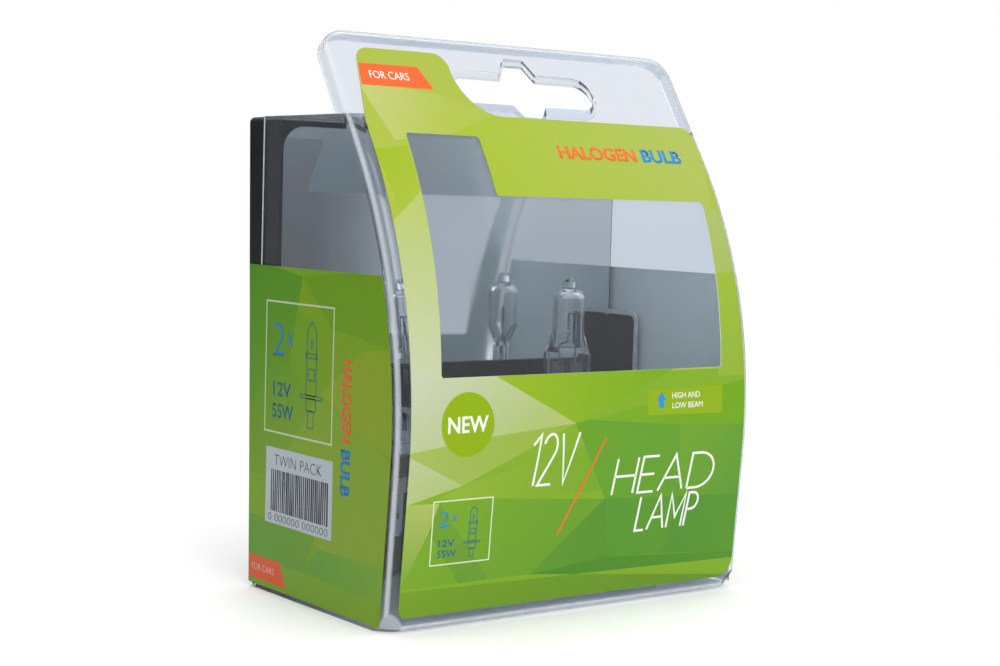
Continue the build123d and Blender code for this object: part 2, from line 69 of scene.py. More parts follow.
# ---- node and material helpers ---------------------------------------------------------------------
def srgb(red, green, blue):
    """A linear colour from the 0 to 255 values that a screen shows."""
    def linear(value):
        value /= 255
        return value / 12.92 if value <= 0.04045 else ((value + 0.055) / 1.055) ** 2.4
    return linear(red), linear(green), linear(blue), 1.0


def add(tree, kind, inputs=None, **settings):
    """A new shader node; an input that is a socket is linked, and any other value is set."""
    made = tree.nodes.new("ShaderNode" + kind)
    for key, value in settings.items():
        setattr(made, key, value)
    for key, value in (inputs or {}).items():
        if isinstance(value, bpy.types.NodeSocket):
            tree.links.new(value, made.inputs[key])
        else:
            made.inputs[key].default_value = value
    return made


def math_node(tree, operation, *values):
    return add(tree, "Math", dict(enumerate(values)), operation=operation).outputs[0]


def mix_colours(tree, factor, first, second, blend_type="MIX"):
    """Mixes two colours; inputs 0, 6 and 7 of the node are its factor and its two colours."""
    inputs = {0: factor, 6: first, 7: second}
    return add(tree, "Mix", inputs, data_type="RGBA", blend_type=blend_type).outputs[2]


def ramp(tree, value, low, high, to_low=0.0, to_high=1.0):
    """Value stretched from low..high to to_low..to_high, and held there outside."""
    inputs = {"Value": value, "From Min": low, "From Max": high, "To Min": to_low, "To Max": to_high}
    return add(tree, "MapRange", inputs).outputs["Result"]


def noise(tree, scale, detail=3.0, stretch=(1, 1, 1)):
    """Noise in the frame's own metres, so that its grain keeps its size; scale is in turns per metre."""
    place = add(tree, "TexCoord").outputs["Object"]
    place = add(tree, "VectorMath", {0: place, 1: stretch}, operation="MULTIPLY").outputs[0]
    return add(tree, "TexNoise", {"Vector": place, "Scale": scale, "Detail": detail}).outputs["Fac"]


def bump(tree, height, strength, distance):
    return add(tree, "Bump", {"Height": height, "Strength": strength, "Distance": distance}).outputs["Normal"]


def new_material(name, **values):
    """A material with a Principled shader; values set its sockets, with _ for a space."""
    material = bpy.data.materials.new(name)
    material.use_nodes = True
    shader = material.node_tree.nodes["Principled BSDF"]
    for key, value in values.items():
        shader.inputs[key.replace("_", " ").title().replace("Ior", "IOR")].default_value = value
    return material, material.node_tree, shader


def link(tree, output, shader, socket):
    tree.links.new(output, shader.inputs[socket])


# ---- materials -------------------------------------------------------------------------------------
def turned_edges(tree):
    """1 where a surface turns from the front to a side or the bottom, less where it lies level, else 0: where
    the sheet's milky edge haze and painted highlight go.
    """
    normal = add(tree, "SeparateXYZ", {0: add(tree, "TexCoord").outputs["Normal"]}).outputs
    across = math_node(tree, "ABSOLUTE", normal["X"])
    under = math_node(tree, "MULTIPLY", normal["Z"], -1.0)
    masks = []
    for slope, rise in ((across, (0.66, 0.86)), (under, (0.35, 0.7))):
        falling = ramp(tree, slope, 0.92, 0.99, 1.0, 0.0)
        masks.append(math_node(tree, "MULTIPLY", ramp(tree, slope, *rise), falling))
    masks.append(ramp(tree, math_node(tree, "ABSOLUTE", normal["Z"]), 0.95, 0.99, 0.0, 0.6))
    return math_node(tree, "MAXIMUM", math_node(tree, "MAXIMUM", masks[0], masks[1]), masks[2])


def clear_sheet(name, colour, ior, lamp_colour, wave_scale, wave_depth, haze, edge_haze_and_highlight):
    """Glass or clear plastic that bends what is behind it and lets lamps and soft light through.

    The haze is the milky share of the sheet, and the edge haze is a larger milky share where it turns a
    corner or lies level; it is partly a frosted edge and partly a painted highlight and reflection.
    """
    material, tree, shader = new_material(name, base_color=colour, ior=ior, roughness=0.015,
                                          sheen_weight=0.06, sheen_tint=(0.86, 0.93, 1.0, 1))
    # milkier where turned_edges marks: partly frosted edges, partly a painted highlight and reflection on
    # them
    clear = ramp(tree, turned_edges(tree), 0, 1, 1.0 - haze, 1.0 - edge_haze_and_highlight)
    link(tree, clear, shader, "Transmission Weight")
    waves = noise(tree, wave_scale, 2.0)
    link(tree, bump(tree, waves, 0.25, wave_depth), shader, "Normal")
    rays = add(tree, "LightPath").outputs
    soft = math_node(tree, "MAXIMUM", rays["Is Shadow Ray"], rays["Is Diffuse Ray"])
    through = add(tree, "BsdfTransparent", {"Color": lamp_colour}).outputs[0]
    both = add(tree, "MixShader", {0: soft, 1: shader.outputs[0], 2: through}).outputs[0]
    tree.links.new(both, tree.nodes["Material Output"].inputs["Surface"])
    return material


def black_plastic():
    """Satin black moulding with a fine spark-eroded grain and faint rubbed patches."""
    material, tree, shader = new_material("black_plastic", specular_ior_level=0.12)
    patches = noise(tree, 45, 4.0)
    colour = mix_colours(tree, ramp(tree, patches, 0.4, 0.7), srgb(9, 11, 12), srgb(18, 21, 22))
    link(tree, colour, shader, "Base Color")
    link(tree, ramp(tree, patches, 0.3, 0.7, 0.24, 0.40), shader, "Roughness")
    link(tree, bump(tree, noise(tree, 1500, 2.0), 0.04, 0.00002), shader, "Normal")
    return material


def bright_panel():
    """Metallised card: nearly a mirror, with a slow ripple and a faint cloudiness."""
    material, tree, shader = new_material("bright_panel", metallic=1.0, base_color=srgb(226, 229, 231))
    clouds = noise(tree, 60, 3.0)
    link(tree, ramp(tree, clouds, 0.3, 0.7, 0.03, 0.085), shader, "Roughness")
    link(tree, bump(tree, noise(tree, 38, 1.0), 0.12, 0.0004), shader, "Normal")
    return material


def metal(name, dark, light, roughness, stretch):
    """Bare metal with a drawn or pressed grain, stretched along the way it was worked."""
    material, tree, shader = new_material(name, metallic=1.0)
    streaks = noise(tree, 900, 4.0, stretch)
    stains = noise(tree, 170, 3.0)
    colour = mix_colours(tree, ramp(tree, stains, 0.35, 0.7), srgb(*light), srgb(*dark))
    link(tree, colour, shader, "Base Color")
    low, high = roughness
    link(tree, ramp(tree, streaks, 0.3, 0.7, low, high), shader, "Roughness")
    link(tree, bump(tree, streaks, 0.3, 0.00003), shader, "Normal")
    return material


def ceramic():
    """Fired steatite: matt, off-white, with small dark specks and a sandy skin."""
    material, tree, shader = new_material("ceramic", roughness=0.62, specular_ior_level=0.35)
    specks = ramp(tree, noise(tree, 1500, 2.0), 0.66, 0.72)
    colour = mix_colours(tree, specks, srgb(222, 218, 206), srgb(150, 140, 124))
    link(tree, colour, shader, "Base Color")
    link(tree, bump(tree, noise(tree, 2200, 4.0), 0.35, 0.00005), shader, "Normal")
    return material


def ink(name, colour):
    """A printed ink: a mottled film of one colour with a slightly uneven gloss."""
    material, tree, shader = new_material(name, specular_ior_level=0.15)
    grain = noise(tree, 1100, 3.0)
    darker = tuple(c * 0.95 for c in colour[:3]) + (1.0,)
    link(tree, mix_colours(tree, ramp(tree, grain, 0.35, 0.7), colour, darker), shader, "Base Color")
    link(tree, ramp(tree, grain, 0.3, 0.7, 0.29, 0.41), shader, "Roughness")
    return material


# A facet of the print is a convex polygon in millimetres.  Its colour goes from the first colour, at
# its first corner, to the second, at its last.  Later facets lie over earlier ones.
FRONT_GROUND = srgb(140, 192, 45)
FRONT_FACETS = (
    ((183, 208, 66), (180, 205, 78), ((-55, 60), (-55, 141), (55, 141), (55, 60))),
    ((176, 207, 48), (184, 209, 92), ((-29, 118), (-12, 124), (56, 124), (50, 100), (-27, 100))),
    ((206, 221, 128), (184, 210, 76), ((-52, 131), (-28, 128), (-13, 124), (-29, 118), (-46, 116))),
    ((168, 203, 26), (178, 208, 62), ((-53, 113.5), (-43, 115), (-43, 102), (-50, 99))),
    ((192, 216, 104), (214, 230, 184), ((-43, 104), (-54, 96), (-54, 60), (-43, 60))),
    ((180, 208, 108), (174, 202, 104), ((46, 103), (56, 100), (56, 85), (45, 84))),
    ((168, 204, 64), (152, 196, 62), ((45, 84.5), (56, 85.5), (56, 58), (44, 58))),
    ((160, 202, 44), (128, 186, 34), ((-29, 60.6), (29, 60.6), (-4.1, 47.9))),
    ((214, 230, 192), (188, 214, 124), ((-55, 60.6), (-29, 60.6), (-4.1, 47.9), (-37.7, 34.6), (-55, 30.5))),
    ((176, 206, 98), (158, 198, 62), ((-55, 43), (-29, 46), (-4.1, 47.9), (-37.7, 34.6))),
    ((122, 184, 30), (132, 188, 44),
     ((28, 60.6), (56, 60.6), (56, 45), (30.6, 45.9), (0.4, 48.6), (-4.1, 47.9))),
    ((164, 202, 62), (126, 184, 42), ((-55, 31), (-37.7, 34.6), (-4.1, 47.9), (6.9, 28.1), (-27.5, 30.7))),
    ((112, 178, 44), (104, 174, 50), ((-4.1, 47.9), (0.4, 48.6), (30.6, 45.9), (32.2, 27), (6.9, 28.1))),
    ((120, 182, 48), (98, 168, 54), ((30.6, 45.9), (56, 45), (56, 26), (32.2, 27))),
    ((134, 188, 46), (116, 178, 48), ((-55, 31), (-27.5, 30.7), (6.9, 28.1), (-15.4, 10.8), (-55, 10.8))),
    ((186, 210, 106), (134, 182, 56), ((-55, 31), (-44.1, 30.8), (-46.6, 23.9), (-53.7, 10.7), (-55, 10.7))),
    ((122, 176, 50), (112, 172, 54), ((-44.1, 30.8), (-28, 10.9), (-36.9, 10.7), (-46.6, 23.9))),
    ((92, 160, 48), (104, 170, 52), ((6.9, 28.1), (-15.4, 10.8), (9.4, 12.9))),
    ((92, 166, 52), (100, 168, 50), ((6.9, 28.1), (32.2, 27), (28, 12), (9.4, 12.9))),
    ((90, 162, 54), (96, 166, 48), ((32.2, 27), (56, 26), (56, 10.4), (28, 12))),
    ((84, 154, 48), (92, 160, 46), ((-15.4, 10.8), (9.4, 12.9), (56, 10.4), (56, 8.6), (-1.2, 9.4))),
    ((126, 176, 44), (108, 164, 44), ((-55, 10.9), (-15.4, 10.8), (-1.2, 9.4), (56, 8.6), (56, 0), (-55, 0))),
)
SIDE_GROUND = srgb(116, 156, 26)
SIDE_FACETS = (
    ((70, 136, 26), (92, 146, 22), ((36, 86), (7, 82), (13, 60), (36, 45))),
    ((100, 148, 20), (108, 150, 18), ((7, 82), (-34, 86), (-34, 67), (-7, 70))),
    ((106, 152, 22), (122, 156, 24), ((13, 60), (7, 82), (-7, 70), (-23, 66), (0, 52))),
    ((130, 158, 32), (134, 156, 40), ((-34, 67), (-22, 66), (0, 52), (-22, 45.7), (-36, 40))),
    ((96, 146, 28), (112, 152, 34), ((36, 46), (13, 60), (0, 52), (20, 30), (36, 30))),
    ((122, 156, 44), (128, 158, 58), ((0, 52), (-22, 45.7), (-36, 40), (-36, 15), (-3, 15.3), (20, 30))),
    ((92, 148, 66), (102, 150, 60), ((36, 20), (20, 19), (-1.4, 18.4), (4, 8), (36, 0))),
    ((116, 158, 52), (122, 160, 56), ((16, 8), (4, 8.1), (-29, 8), (-30, 0), (36, 0))),
    ((98, 152, 72), (118, 160, 62), ((-3.1, 15.3), (-36, 15.6), (-36, 7), (4.2, 8.1))),
)
LABEL_BACK = srgb(232, 240, 235)


def inside_facet(tree, place, across, corners):
    """1 inside the convex polygon and 0 outside, for the two axes of place that across names."""
    centre = [sum(c[k] for c in corners) / len(corners) * MM for k in (0, 1)]
    covered = None
    for (u0, v0), (u1, v1) in zip(corners, corners[1:] + corners[:1]):
        normal = [(v1 - v0), (u0 - u1)]
        offset = (normal[0] * u0 + normal[1] * v0) * MM
        if normal[0] * centre[0] + normal[1] * centre[1] < offset:
            normal, offset = [-n for n in normal], -offset
        direction = [0.0, 0.0, 0.0]
        direction[across], direction[2] = normal
        dot = add(tree, "VectorMath", {0: place, 1: direction}, operation="DOT_PRODUCT").outputs["Value"]
        beyond = math_node(tree, "GREATER_THAN", dot, offset)
        covered = beyond if covered is None else math_node(tree, "MULTIPLY", covered, beyond)
    return covered


def facet_colour(tree, place, across, first, second, corners):
    """A colour that fades over the facet from its first corner to its last."""
    (u0, v0), (u1, v1) = corners[0], corners[-2]
    run = Vector((u1 - u0, v1 - v0)) * MM
    direction = [0.0, 0.0, 0.0]
    direction[across], direction[2] = run / run.length_squared
    dot = add(tree, "VectorMath", {0: place, 1: direction}, operation="DOT_PRODUCT").outputs["Value"]
    start = run.dot(Vector((u0, v0)) * MM) / run.length_squared
    return mix_colours(tree, ramp(tree, dot, start, start + 1), srgb(*first), srgb(*second))


def printed_label(name, across, ground, facets, depth):
    """Printed film: a low-poly pattern in greens on its outer face, plain grey-green on its back."""
    material, tree, shader = new_material(name, specular_ior_level=0.12)
    coordinates = add(tree, "TexCoord").outputs
    place = coordinates["Object"]
    colour = ground
    for first, second, corners in facets:
        shade = facet_colour(tree, place, across, first, second, corners)
        colour = mix_colours(tree, inside_facet(tree, place, across, corners), colour, shade)
    outward = add(tree, "VectorMath", {0: place, 1: PACK_MIDDLE}, operation="SUBTRACT").outputs[0]
    facing = add(tree, "VectorMath", {0: coordinates["Normal"], 1: outward}, operation="DOT_PRODUCT")
    backed = math_node(tree, "LESS_THAN", facing.outputs["Value"], 0.0)
    grain = noise(tree, 900, 3.0)
    mottled = mix_colours(tree, ramp(tree, grain, 0.4, 0.7, 0.0, 0.06), colour, ground)
    mottled = mix_colours(tree, 1.0, mottled, depth, "MULTIPLY")
    link(tree, mix_colours(tree, backed, mottled, LABEL_BACK), shader, "Base Color")
    link(tree, ramp(tree, grain, 0.3, 0.7, 0.30, 0.40), shader, "Roughness")
    link(tree, bump(tree, noise(tree, 160, 2.0), 0.08, 0.00002), shader, "Normal")
    return material


CLEAR_PLASTIC = {
    "colour": (0.81, 0.86, 0.92, 1),
    "ior": 1.36,
    "lamp_colour": (0.96, 0.97, 0.98, 1),
    "wave_scale": 28,
    "wave_depth": 0.0004,
    "haze": 0.006,
    "edge_haze_and_highlight": 0.36,
}
QUARTZ = {
    "colour": (0.98, 0.99, 1.0, 1),
    "ior": 1.46,
    "lamp_colour": (0.97, 0.98, 0.98, 1),
    "wave_scale": 90,
    "wave_depth": 0.0001,
    "haze": 0.01,
    "edge_haze_and_highlight": 0.03,
}
finishes = {
    "clear_plastic": clear_sheet("clear_plastic", **CLEAR_PLASTIC),
    "quartz": clear_sheet("quartz", **QUARTZ),
    "black_plastic": black_plastic(),
    "bright_panel": bright_panel(),
    "bright_steel": metal("bright_steel", (196, 199, 204), (232, 234, 238), (0.1, 0.22), (1, 1, 0.12)),
    "molybdenum": metal("molybdenum", (84, 87, 92), (128, 131, 137), (0.28, 0.45), (0.15, 1, 1)),
    "tungsten": metal("tungsten", (128, 130, 134), (176, 178, 182), (0.22, 0.35), (1, 1, 1)),
    "ceramic": ceramic(),
}
front_film = printed_label("front_print", 0, FRONT_GROUND, FRONT_FACETS, (0.78, 0.72, 0.80, 1))
side_film = printed_label("side_print", 1, SIDE_GROUND, SIDE_FACETS, (0.80, 0.82, 0.38, 1))


def set_material(piece, material):
    piece.data.materials.clear()
    piece.data.materials.append(material)


for part in frame["record"]["subparts"]:
    if part["material_slot"] in finishes:
        set_material(nodes[part["node"]], finishes[part["material_slot"]])
set_material(nodes["front_label"], front_film)
for side in SIDES:
    set_material(nodes[f"{side}_side_label"], side_film)


# ---- flat drawing: every shape is drawn in millimetres, u to the reader's right and v up -----------
def fill(drawing, corners):
    drawing.faces.new([drawing.verts.new((u, v, 0)) for u, v in corners])


def arc(centre, radii, start, end, steps=14):
    """Points on an ellipse's arc; the angles are in degrees."""
    turns = [math.radians(start + (end - start) * k / steps) for k in range(steps + 1)]
    return [(centre[0] + radii[0] * math.cos(a), centre[1] + radii[1] * math.sin(a)) for a in turns]


def stroke(drawing, points, width, closed=False):
    """A line of even width along the points, with mitred corners."""
    points = [Vector(p) for p in points]
    count = len(points)
    sides = []
    for k, here in enumerate(points):
        into = here - points[k - 1] if closed or k else points[k + 1] - here
        out = points[(k + 1) % count] - here if closed or k + 1 < count else into
        across = (into.normalized() + out.normalized()).normalized().orthogonal()
        reach = across * (width / 2 / max(0.4, across.dot(out.normalized().orthogonal())))
        sides.append([drawing.verts.new((*(here + reach), 0)), drawing.verts.new((*(here - reach), 0))])
    for k in range(count if closed else count - 1):
        (a, b), (c, d) = sides[k], sides[(k + 1) % count]
        drawing.faces.new((a, b, d, c))


def letters(drawing, text, low, high, weight=0.0, turn=0.0):
    """Plain upright lettering that fills the box from low to high; turn is in degrees about its middle."""
    curve = bpy.data.curves.new("letters", "FONT")
    curve.body, curve.offset, curve.resolution_u = text, weight, 4
    holder = bpy.data.objects.new("letters", curve)
    mesh = bpy.data.meshes.new_from_object(holder)
    us, vs = [[vert.co[k] for vert in mesh.vertices] for k in (0, 1)]
    size = (max(us) - min(us), max(vs) - min(vs))
    middle = (Vector(low) + Vector(high)) / 2
    box = [high[0] - low[0], high[1] - low[1]]
    if turn:
        box.reverse()
    cos, sin = math.cos(math.radians(turn)), math.sin(math.radians(turn))
    for vert in mesh.vertices:
        u = (vert.co.x - min(us) - size[0] / 2) / size[0] * box[0]
        v = (vert.co.y - min(vs) - size[1] / 2) / size[1] * box[1]
        vert.co = (middle.x + u * cos - v * sin, middle.y + u * sin + v * cos, 0)
    drawing.from_mesh(mesh)
    bpy.data.meshes.remove(mesh)
    bpy.data.objects.remove(holder)
    bpy.data.curves.remove(curve)


THIN_LINE = 0.62          # width of the thin lettering's lines

# Thin capitals as lines on a letter one unit high: its width, and its strokes.
THIN_LETTERS = {
    "1": (0.24, [[(0, 0.8), (0.24, 1), (0.24, 0)]]),
    "2": (0.5, [arc((0.25, 0.75), (0.25, 0.25), 165, -35) + [(0, 0), (0.5, 0)]]),
    "V": (0.64, [[(0, 1), (0.32, 0), (0.64, 1)]]),
    "H": (0.66, [[(0, 0), (0, 1)], [(0.66, 0), (0.66, 1)], [(0, 0.5), (0.66, 0.5)]]),
    "E": (0.5, [[(0.5, 1), (0, 1), (0, 0), (0.5, 0)], [(0, 0.5), (0.44, 0.5)]]),
    "A": (0.8, [[(0, 0), (0.4, 1), (0.8, 0)], [(0.14, 0.35), (0.66, 0.35)]]),
    "D": (0.8, [[(0, 0), (0, 1)] + arc((0.28, 0.5), (0.52, 0.5), 90, -90) + [(0, 0)]]),
    "L": (0.42, [[(0, 1), (0, 0), (0.42, 0)]]),
    "M": (0.72, [[(0, 0), (0, 1), (0.36, 0.3), (0.72, 1), (0.72, 0)]]),
    "P": (0.5, [[(0, 0), (0, 1)] + arc((0.22, 0.75), (0.28, 0.25), 90, -90) + [(0, 0.5)]]),
}


def thin_word(drawing, word, low, high, width, slant=0.16, gap=0.16):
    """A word in thin slanted lines that fills the box from low to high."""
    total = sum(THIN_LETTERS[c][0] for c in word) + gap * (len(word) - 1)
    tall = high[1] - low[1]
    wide = (high[0] - low[0] - slant * tall) / total
    start = 0.0
    for c in word:
        for line in THIN_LETTERS[c][1]:
            points = [(low[0] + (start + u) * wide + v * tall * slant, low[1] + v * tall) for u, v in line]
            stroke(drawing, points, width)
        start += THIN_LETTERS[c][0] + gap


def rating_panel(drawings, low, high, line):
    """The framed panel with the count, the rating and a line drawing of the bulb."""
    wide, tall = high[0] - low[0], high[1] - low[1]

    def at(u, v):
        return low[0] + u * wide, low[1] + v * tall

    stroke(drawings["pale"], [at(0, 0), at(1, 0), at(1, 1), at(0, 1)], line * 1.6, closed=True)
    letters(drawings["blue"], "2", at(0.11, 0.59), at(0.28, 0.84), weight=-0.012)
    letters(drawings["blue"], "x", at(0.32, 0.67), at(0.41, 0.77), weight=-0.012)
    letters(drawings["teal"], "12V", at(0.12, 0.28), at(0.39, 0.39), weight=0.01)
    letters(drawings["teal"], "55W", at(0.11, 0.11), at(0.43, 0.22), weight=0.01)
    centre, unit = at(0.69, 0)[0], tall / 33.4
    dome = [(-2.0, 27.2), (-1.4, 28), (0, 29.4), (1.4, 28), (2.0, 27.2)]
    outlines = (
        [(-2.4, 11), (-2.3, 20.3)] + dome + [(2.3, 20.3), (2.4, 11)],
        [(-2.7, 20.3), (-2.7, 21.4), (2.7, 21.4), (2.7, 20.3)],
        [(-5.2, 10.2), (-5.2, 11), (5.2, 11), (5.2, 10.2)],
        [(-2.3, 10.2), (-2.3, 7.1), (2.3, 7.1), (2.3, 10.2)],
        [(-1.3, 7.1), (-1.3, 2.9), (1.3, 2.9), (1.3, 7.1)],
        [(-1.5, 14.8), (-1.5, 17.6), (1.5, 17.6), (1.5, 14.8)],
    )
    for outline in outlines:
        points = [(centre + u * unit, low[1] + v * unit) for u, v in outline]
        stroke(drawings["teal"], points, line * 0.8, closed=True)
    stroke(drawings["teal"], [(centre, low[1] + 22.5 * unit), (centre, low[1] + 25 * unit)], line * 1.4)


# ---- printing: drawings are laid on the labels as thin solid films ---------------------------------
SLICE = 2.5               # drawings on the curved front are cut this often, to follow the curve
FILM_ROOT = 0.01          # how far a film reaches into the label under it
FILM_HEIGHTS = {"ground": 0.025, "ink": 0.045}

front_surface = BVHTree.FromObject(nodes["front_label"], bpy.context.evaluated_depsgraph_get())


def on_front(u, v, height):
    """A point on the front label's outer face, in metres."""
    start = Vector((u * MM, CAD_LOW.y - 0.05, v * MM))
    hit, normal, _, _ = front_surface.ray_cast(start, Vector((0, 1, 0)))
    return hit + normal * height * MM


def on_left(u, v, height):
    return Vector((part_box("left_side_label")[0].x - height * MM, -u * MM, v * MM))


def on_right(u, v, height):
    return Vector((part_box("right_side_label")[1].x + height * MM, u * MM, v * MM))


def print_film(name, drawing, place, layer, material):
    """Turns a flat drawing into a thin closed film on a label."""
    if place is on_front:
        low, high = [f(vert.co.y for vert in drawing.verts) for f in (min, max)]
        for k in range(math.ceil(low / SLICE), math.ceil(high / SLICE)):
            everything = drawing.verts[:] + drawing.edges[:] + drawing.faces[:]
            bmesh.ops.bisect_plane(drawing, geom=everything, plane_co=(0, k * SLICE, 0), plane_no=(0, 1, 0))
    bmesh.ops.remove_doubles(drawing, verts=drawing.verts, dist=1e-5)
    base = drawing.verts[:]
    raised = bmesh.ops.extrude_face_region(drawing, geom=drawing.faces[:], use_keep_orig=True)["geom"]
    for vert in base:
        vert.co.z = -FILM_ROOT
    for vert in raised:
        if isinstance(vert, bmesh.types.BMVert):
            vert.co.z = FILM_HEIGHTS[layer]
    for vert in drawing.verts:
        vert.co = place(*vert.co)
    bmesh.ops.recalc_face_normals(drawing, faces=drawing.faces)
    mesh = bpy.data.meshes.new(name)
    drawing.to_mesh(mesh)
    drawing.free()
    piece = bpy.data.objects.new(name, mesh)
    bpy.context.scene.collection.objects.link(piece)
    set_material(piece, material)
    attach(piece, "case")
    return piece


INK_COLOURS = {
    "tag": (244, 100, 44),
    "orange": (247, 112, 48),
    "rust": (214, 120, 40),
    "blue": (48, 140, 205),
    "teal": (36, 112, 138),
    "pale": (214, 228, 190),
    "white": (240, 243, 236),
    "black": (38, 40, 44),
    # grey-blue paper paints shade on the side label's white barcode block
    "paper": (200, 211, 220),
    "lime": (138, 170, 8),
    "patch": (138, 170, 22),
}


def ink_set(prefix, strength, names):
    """An ink for each name; a lower strength makes them all darker."""
    made = {}
    for name in names:
        darker = tuple(c * strength for c in srgb(*INK_COLOURS[name])[:3]) + (1.0,)
        made[name] = ink(f"{prefix}_{name}", darker)
    return made


FRONT_INKS = ("tag", "orange", "rust", "blue", "teal", "pale", "white", "lime", "patch")
SIDE_INKS = ("tag", "orange", "blue", "teal", "pale", "white", "black", "paper")
front_inks = ink_set("ink", 1.0, FRONT_INKS)
# the side inks are darker copies of the front inks: their lower strength paints the shade the side labels lie
# in
side_inks = ink_set("side_ink", 0.62, SIDE_INKS)


def print_all(prefix, drawings, place, grounds, inks):
    """Prints each ink's drawing; the grounds lie under the other inks."""
    for name, drawing in drawings.items():
        layer = "ground" if name in grounds else "ink"
        print_film(f"{prefix}_{name}_print", drawing, place, layer, inks[name])


def front_print():
    drawings = {name: bmesh.new() for name in FRONT_INKS}
    fill(drawings["tag"], [(-49.3, 134.8), (-32.0, 134.8), (-29.2, 129.3), (-50.5, 129.3)])
    letters(drawings["white"], "FOR CARS", (-47.2, 131.1), (-35.6, 133.0))
    letters(drawings["orange"], "HALOGEN", (3.6, 113.4), (29.6, 116.8), weight=0.03)
    letters(drawings["blue"], "BULB", (31.8, 113.4), (45.6, 116.8), weight=0.03)
    fill(drawings["lime"], arc((-37.0, 49.2), (7.7, 7.7), 0, 360, 64)[:-1])
    letters(drawings["white"], "NEW", (-42.8, 47.2), (-31.0, 51.2), weight=0.02)
    thin_word(drawings["white"], "12V", (-18.6, 33.1), (-2.6, 45.6), THIN_LINE)
    stroke(drawings["rust"], [(5.9, 43.8), (-7.8, 20.0)], THIN_LINE)
    thin_word(drawings["white"], "HEAD", (9.0, 28.9), (44.4, 38.1), THIN_LINE)
    thin_word(drawings["white"], "LAMP", (17.8, 18.9), (39.4, 27.6), THIN_LINE)
    fill(drawings["patch"], [(19.5, 48.7), (45.5, 48.3), (45.4, 55.6), (19.5, 55.3)])
    arrow = [(23.3, 50.5), (24.9, 50.5), (24.9, 52.4), (25.8, 52.4), (24.1, 54.5), (22.4, 52.4), (23.3, 52.4)]
    fill(drawings["blue"], arrow)
    letters(drawings["white"], "HIGH AND", (27.8, 52.8), (37.4, 54.3))
    letters(drawings["white"], "LOW BEAM", (27.8, 50.2), (38.4, 51.7))
    rating_panel(drawings, (-45.7, 15.8), (-28.4, 31.2), 0.2)
    print_all("front", drawings, on_front, ("tag", "lime", "patch"), front_inks)


def side_print(side, place, flip):
    """The side label's print; flip keeps each group as far from the back edge on both sides."""
    drawings = {name: bmesh.new() for name in SIDE_INKS}

    def group(middle, half_width):
        return flip * middle - half_width, flip * middle + half_width

    left, right = group(-8.2, 16.3)
    rating_panel(drawings, (left, 41.8), (right, 75.1), 0.3)
    left, right = group(14.6, 2.1)
    letters(drawings["orange"], "HALOGEN", (left, 43.2), (right, 63.2), weight=0.03, turn=-90)
    letters(drawings["blue"], "BULB", (left, 30.0), (right, 41.4), weight=0.03, turn=-90)
    left, right = group(-7.2, 16.2)
    fill(drawings["paper"], [(left, 18.3), (right, 18.3), (right, 37.8), (left, 37.8)])
    letters(drawings["black"], "TWIN PACK", (left + 4.2, 33.4), (right - 5.2, 36.1), weight=-0.02)
    letters(drawings["black"], "0 000000 000000", (left + 1.6, 19.0), (right - 1.8, 20.9), weight=-0.02)
    stripes, bars = random.Random(7), 30
    step = (right - left - 4.4) / bars
    for k in range(bars):
        bar = left + 2.8 + k * step
        fill(drawings["black"], [(bar, 21.5), (bar + step * stripes.uniform(0.4, 0.85), 21.5),
                                 (bar + step * stripes.uniform(0.4, 0.85), 32.2), (bar, 32.2)])
    edge, nose = flip * -31.2, flip * -15.4
    fill(drawings["tag"], [(edge, 2.6), (nose + flip * 3.0, 2.6), (nose, 8.6), (edge, 8.6)])
    left, right = group(-24.0, 5.6)
    letters(drawings["white"], "FOR CARS", (left, 4.9), (right, 6.5), weight=-0.02)
    print_all(f"{side}_side", drawings, place, ("tag", "paper"), side_inks)


front_print()
side_print("left", on_left, 1)
side_print("right", on_right, -1)


# ---- the bulbs' filaments: a coil of wire in the place of the plain cylinder -----------------------
COIL_TURNS = 11
COIL_STEPS = 16           # points in one turn
COIL_WIRE = 0.13          # radius


def filament_coil(side):
    low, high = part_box(f"{side}_filament")
    middle = (low + high) / 2
    radius = (high.x - low.x) / 2 - COIL_WIRE * MM
    curve = bpy.data.curves.new(f"{side}_filament_coil", "CURVE")
    curve.dimensions, curve.bevel_depth, curve.bevel_resolution = "3D", COIL_WIRE * MM, 2
    curve.use_fill_caps = True
    line = curve.splines.new("POLY")
    count = COIL_TURNS * COIL_STEPS + 1
    line.points.add(count - 1)
    for k in range(count):
        turn = 2 * math.pi * k / COIL_STEPS
        height = low.z + (high.z - low.z) * k / (count - 1)
        place = (middle.x + radius * math.cos(turn), middle.y + radius * math.sin(turn), height)
        line.points[k].co = (*place, 1)
    piece = bpy.data.objects.new(f"{side}_filament_coil", curve)
    bpy.context.scene.collection.objects.link(piece)
    curve.materials.append(finishes["tungsten"])
    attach(piece, f"{side}_bulb")
    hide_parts(f"{side}_filament")


for side in SIDES:
    filament_coil(side)


# ---- painted highlights: pale beads along the case's back edge and round each ear of the tray ------
EAR_FRONT = 8.9           # the bead's inner line in front of the ear
EAR_BEAD_RADIUS = 2.1
EAR_BEAD_WIDTH = 1.3
EAR_BEAD_FOOT = 40.0
EAR_BEAD_THICKNESS = 0.5
EAR_BEAD_INSET = 0.8      # from the ear's outer face
BEAD_GAP = 0.1            # from the ear's top edge and from the panel
BACK_EDGE_WIDTH = 0.5
BACK_EDGE_LAYER = (0.01, 0.09)  # from the case's walls
BACK_EDGE_FOOT = 0.4


def painted_highlight():
    """A pale, rough, half-clear finish whose light colour paints highlight lines along the case's back edge
    and the ears' edges.
    """
    material, tree, shader = new_material("painted_highlight", roughness=0.35, transmission_weight=0.3)
    cloudy = ramp(tree, noise(tree, 500, 3.0), 0.35, 0.7)
    link(tree, mix_colours(tree, cloudy, srgb(226, 233, 240), srgb(190, 200, 210)), shader, "Base Color")
    return material


